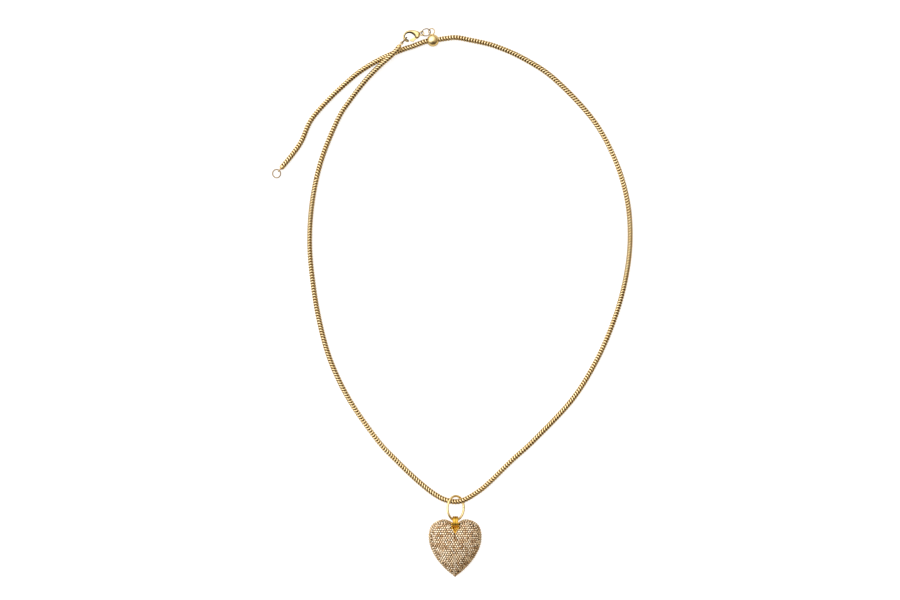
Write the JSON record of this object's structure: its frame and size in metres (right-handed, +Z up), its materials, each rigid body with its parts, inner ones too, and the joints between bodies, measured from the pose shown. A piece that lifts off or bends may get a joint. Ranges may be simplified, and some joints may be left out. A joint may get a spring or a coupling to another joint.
{
  "type": "pendant necklace",
  "caption": "Gold-tone snake-chain necklace with a slider bead, a lobster clasp and a stone-set heart pendant.",
  "frame": {"origin": "below the middle of the whole necklace, on the surface it lies on", "axes": "+Z up from the surface, +Y from the heart towards the clasp, +X to the right seen from above"},
  "size_m": [0.1515, 0.2304, 0.0071],
  "materials": {
    "chain_gold": "gold-plated snake-chain links, satin bright",
    "bright_gold": "gold-plated, polished",
    "cast_gold": "gold-plated casting, soft polish",
    "ring_gold": "gold-plated round wire",
    "spring_steel": "spring leaf",
    "silicone": "translucent grip sleeve",
    "stones": "faceted pave stones, clear and champagne"
  },
  "bodies": {
    "root": {"chain": "chain_gold", "tail_end_tip": "cast_gold"},
    "slider": {"slider_bead": "bright_gold", "slider_sleeve": "silicone", "chain_end_strand": "chain_gold", "clasp_end_tip": "cast_gold"},
    "clasp_ring": {"clasp_jump_ring": "ring_gold"},
    "clasp": {"clasp_frame": "bright_gold", "clasp_rivet": "bright_gold", "clasp_spring": "spring_steel"},
    "lever": {"clasp_lever": "bright_gold"},
    "end_ring": {"chain_end_ring": "ring_gold"},
    "tail_ring": {"tail_ring": "ring_gold"},
    "pendant_ring": {"pendant_ring": "ring_gold"},
    "heart": {"heart_shell": "cast_gold", "heart_back_plate": "bright_gold", "heart_bail": "cast_gold", "pave_row_1": "stones", "pave_row_2": "stones", "pave_row_3": "stones", "pave_field": "stones"}
  },
  "joints": [
    {"name": "bead_slide", "type": "slide", "parent": "root", "child": "slider", "axis": [0.9888, 0.1495, 0], "range_m": [0, 0.0015]},
    {"name": "clasp_ring_swing", "type": "hinge", "parent": "slider", "child": "clasp_ring", "pos_m": [-0.01065, 0.11325, 0.003], "axis": [0.9707, 0.2402, 0], "range_deg": [0, 40]},
    {"name": "clasp_swing", "type": "hinge", "parent": "slider", "child": "clasp", "pos_m": [-0.01245, 0.11281, 0.003], "axis": [0, 0, 1], "range_deg": [0, 3]},
    {"name": "clasp_lever", "type": "hinge", "parent": "clasp", "child": "lever", "pos_m": [-0.01414, 0.11159, 0.003], "axis": [0, 0, -1], "range_deg": [0, 25], "stiffness_Nm_per_rad": 0.0005},
    {"name": "end_ring_swing", "type": "hinge", "parent": "slider", "child": "end_ring", "pos_m": [-0.02095, 0.10862, 0.00365], "axis": [-0.6318, -0.7179, 0.2924], "range_deg": [-20, 20]},
    {"name": "tail_ring_swing", "type": "hinge", "parent": "root", "child": "tail_ring", "pos_m": [-0.07239, 0.05546, 0.00099], "axis": [-0.7485, 0.6631, 0], "range_deg": [0, 110]},
    {"name": "pendant_ring_swing", "type": "hinge", "parent": "root", "child": "pendant_ring", "pos_m": [0.00165, -0.0834, 0.00263], "axis": [-1, 0, 0], "range_deg": [0, 75]},
    {"name": "heart_swing", "type": "hinge", "parent": "pendant_ring", "child": "heart", "pos_m": [0.00128, -0.09106, 0.00413], "axis": [-0.8022, 0.2042, 0.561], "range_deg": [0, 20]}
  ]
}
